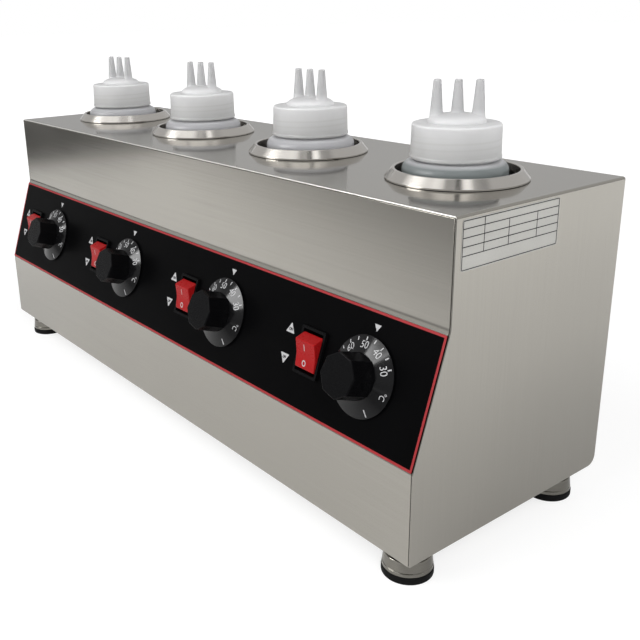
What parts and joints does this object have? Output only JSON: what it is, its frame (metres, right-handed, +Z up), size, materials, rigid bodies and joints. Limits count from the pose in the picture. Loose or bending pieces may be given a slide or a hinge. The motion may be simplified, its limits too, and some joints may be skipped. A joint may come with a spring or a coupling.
{
  "type": "topping warmer",
  "caption": "Counter-top topping warmer: stainless casing with heated wells that hold squeeze bottles, each with a rocker switch and a temperature knob.",
  "frame": {"origin": "on the counter, under the middle of the whole object", "axes": "+X along the casing to its right end, -Y towards the user, +Z up"},
  "size_m": [0.565, 0.2053, 0.2786],
  "materials": {
    "brushed_steel": "satin brushed stainless sheet, brushed lengthways",
    "polished_steel": "turned and polished stainless",
    "band_steel": "dull heater band sheet",
    "plated_brass": "plated spindle",
    "milky_plastic": "milky, slightly see-through squeeze-bottle plastic",
    "seal_rubber": "pale food-grade seal",
    "panel_print": "black printed film with a thin red border and pale marks",
    "black_plastic": "moulded black plastic",
    "knob_plastic": "moulded black phenolic with a pale scale",
    "red_plastic": "translucent red rocker",
    "grey_plastic": "thermostat body",
    "black_rubber": "foot pad"
  },
  "bodies": {
    "chassis": {"back_panel": "brushed_steel", "base_plate": "brushed_steel", "cable_gland": "black_plastic", "casing_shell": "brushed_steel", "control_overlay": "panel_print", "foot_cup_1": "polished_steel", "foot_cup_2": "polished_steel", "foot_cup_3": "polished_steel", "foot_cup_4": "polished_steel", "foot_pad_1": "black_rubber", "foot_pad_2": "black_rubber", "foot_pad_3": "black_rubber", "foot_pad_4": "black_rubber", "front_panel": "brushed_steel", "heater_band_1": "band_steel", "heater_band_2": "band_steel", "heater_band_3": "band_steel", "heater_band_4": "band_steel", "switch_housing_1": "black_plastic", "switch_housing_2": "black_plastic", "switch_housing_3": "black_plastic", "switch_housing_4": "black_plastic", "terminal_block": "milky_plastic", "thermostat_1": "grey_plastic", "thermostat_2": "grey_plastic", "thermostat_3": "grey_plastic", "thermostat_4": "grey_plastic", "well_pot_1": "brushed_steel", "well_pot_2": "brushed_steel", "well_pot_3": "brushed_steel", "well_pot_4": "brushed_steel", "well_ring_1": "polished_steel", "well_ring_2": "polished_steel", "well_ring_3": "polished_steel", "well_ring_4": "polished_steel"},
    "bottle_1": {"bottle_1": "milky_plastic"},
    "cap_seal_1": {"cap_seal_1": "seal_rubber"},
    "cap_1": {"bottle_cap_1": "milky_plastic"},
    "knob_1": {"knob_1": "knob_plastic", "spindle_1": "plated_brass"},
    "rocker_1": {"rocker_1": "red_plastic"},
    "bottle_2": {"bottle_2": "milky_plastic"},
    "cap_seal_2": {"cap_seal_2": "seal_rubber"},
    "cap_2": {"bottle_cap_2": "milky_plastic"},
    "knob_2": {"knob_2": "knob_plastic", "spindle_2": "plated_brass"},
    "rocker_2": {"rocker_2": "red_plastic"},
    "bottle_3": {"bottle_3": "milky_plastic"},
    "cap_seal_3": {"cap_seal_3": "seal_rubber"},
    "cap_3": {"bottle_cap_3": "milky_plastic"},
    "knob_3": {"knob_3": "knob_plastic", "spindle_3": "plated_brass"},
    "rocker_3": {"rocker_3": "red_plastic"},
    "bottle_4": {"bottle_4": "milky_plastic"},
    "cap_seal_4": {"cap_seal_4": "seal_rubber"},
    "cap_4": {"bottle_cap_4": "milky_plastic"},
    "knob_4": {"knob_4": "knob_plastic", "spindle_4": "plated_brass"},
    "rocker_4": {"rocker_4": "red_plastic"}
  },
  "joints": [
    {"name": "bottle_1_lift", "type": "slide", "parent": "chassis", "child": "bottle_1", "axis": [0, 0, 1], "range_m": [0, 0.2]},
    {"name": "cap_1_turn", "type": "hinge", "parent": "bottle_1", "child": "cap_seal_1", "pos_m": [-0.2152, 0.01388, 0.2323], "axis": [0, 0, 1], "range_deg": [0, 540]},
    {"name": "cap_1_rise", "type": "slide", "parent": "cap_seal_1", "child": "cap_1", "axis": [0, 0, 1], "range_m": [0, 0.0061]},
    {"name": "knob_1_turn", "type": "hinge", "parent": "chassis", "child": "knob_1", "pos_m": [-0.1964, -0.07823, 0.11847], "axis": [0, -0.9495, 0.3136], "range_deg": [-124, 160]},
    {"name": "rocker_1_press", "type": "hinge", "parent": "chassis", "child": "rocker_1", "pos_m": [-0.2431, -0.07519, 0.11747], "axis": [-1, 0, 0], "range_deg": [0, 32]},
    {"name": "bottle_2_lift", "type": "slide", "parent": "chassis", "child": "bottle_2", "axis": [0, 0, 1], "range_m": [0, 0.2]},
    {"name": "cap_2_turn", "type": "hinge", "parent": "bottle_2", "child": "cap_seal_2", "pos_m": [-0.0713, 0.01558, 0.2323], "axis": [0, 0, 1], "range_deg": [0, 540]},
    {"name": "cap_2_rise", "type": "slide", "parent": "cap_seal_2", "child": "cap_2", "axis": [0, 0, 1], "range_m": [0, 0.0061]},
    {"name": "knob_2_turn", "type": "hinge", "parent": "chassis", "child": "knob_2", "pos_m": [-0.0538, -0.07823, 0.11847], "axis": [0, -0.9495, 0.3136], "range_deg": [-124, 160]},
    {"name": "rocker_2_press", "type": "hinge", "parent": "chassis", "child": "rocker_2", "pos_m": [-0.1005, -0.07519, 0.11747], "axis": [-1, 0, 0], "range_deg": [0, 32]},
    {"name": "bottle_3_lift", "type": "slide", "parent": "chassis", "child": "bottle_3", "axis": [0, 0, 1], "range_m": [0, 0.2]},
    {"name": "cap_3_turn", "type": "hinge", "parent": "bottle_3", "child": "cap_seal_3", "pos_m": [0.0723, 0.01688, 0.2323], "axis": [0, 0, 1], "range_deg": [0, 540]},
    {"name": "cap_3_rise", "type": "slide", "parent": "cap_seal_3", "child": "cap_3", "axis": [0, 0, 1], "range_m": [0, 0.0061]},
    {"name": "knob_3_turn", "type": "hinge", "parent": "chassis", "child": "knob_3", "pos_m": [0.0888, -0.07823, 0.11847], "axis": [0, -0.9495, 0.3136], "range_deg": [-124, 160]},
    {"name": "rocker_3_press", "type": "hinge", "parent": "chassis", "child": "rocker_3", "pos_m": [0.0421, -0.07519, 0.11747], "axis": [-1, 0, 0], "range_deg": [0, 32]},
    {"name": "bottle_4_lift", "type": "slide", "parent": "chassis", "child": "bottle_4", "axis": [0, 0, 1], "range_m": [0, 0.2]},
    {"name": "cap_4_turn", "type": "hinge", "parent": "bottle_4", "child": "cap_seal_4", "pos_m": [0.2131, 0.01458, 0.2323], "axis": [0, 0, 1], "range_deg": [0, 540]},
    {"name": "cap_4_rise", "type": "slide", "parent": "cap_seal_4", "child": "cap_4", "axis": [0, 0, 1], "range_m": [0, 0.0061]},
    {"name": "knob_4_turn", "type": "hinge", "parent": "chassis", "child": "knob_4", "pos_m": [0.2314, -0.07823, 0.11847], "axis": [0, -0.9495, 0.3136], "range_deg": [-124, 160]},
    {"name": "rocker_4_press", "type": "hinge", "parent": "chassis", "child": "rocker_4", "pos_m": [0.1847, -0.07519, 0.11747], "axis": [-1, 0, 0], "range_deg": [0, 32]}
  ],
  "couplings": [
    {"joint": "cap_1_rise", "follows": "cap_1_turn", "m_per_rad": 0.00063662},
    {"joint": "cap_2_rise", "follows": "cap_2_turn", "m_per_rad": 0.00063662},
    {"joint": "cap_3_rise", "follows": "cap_3_turn", "m_per_rad": 0.00063662},
    {"joint": "cap_4_rise", "follows": "cap_4_turn", "m_per_rad": 0.00063662}
  ]
}
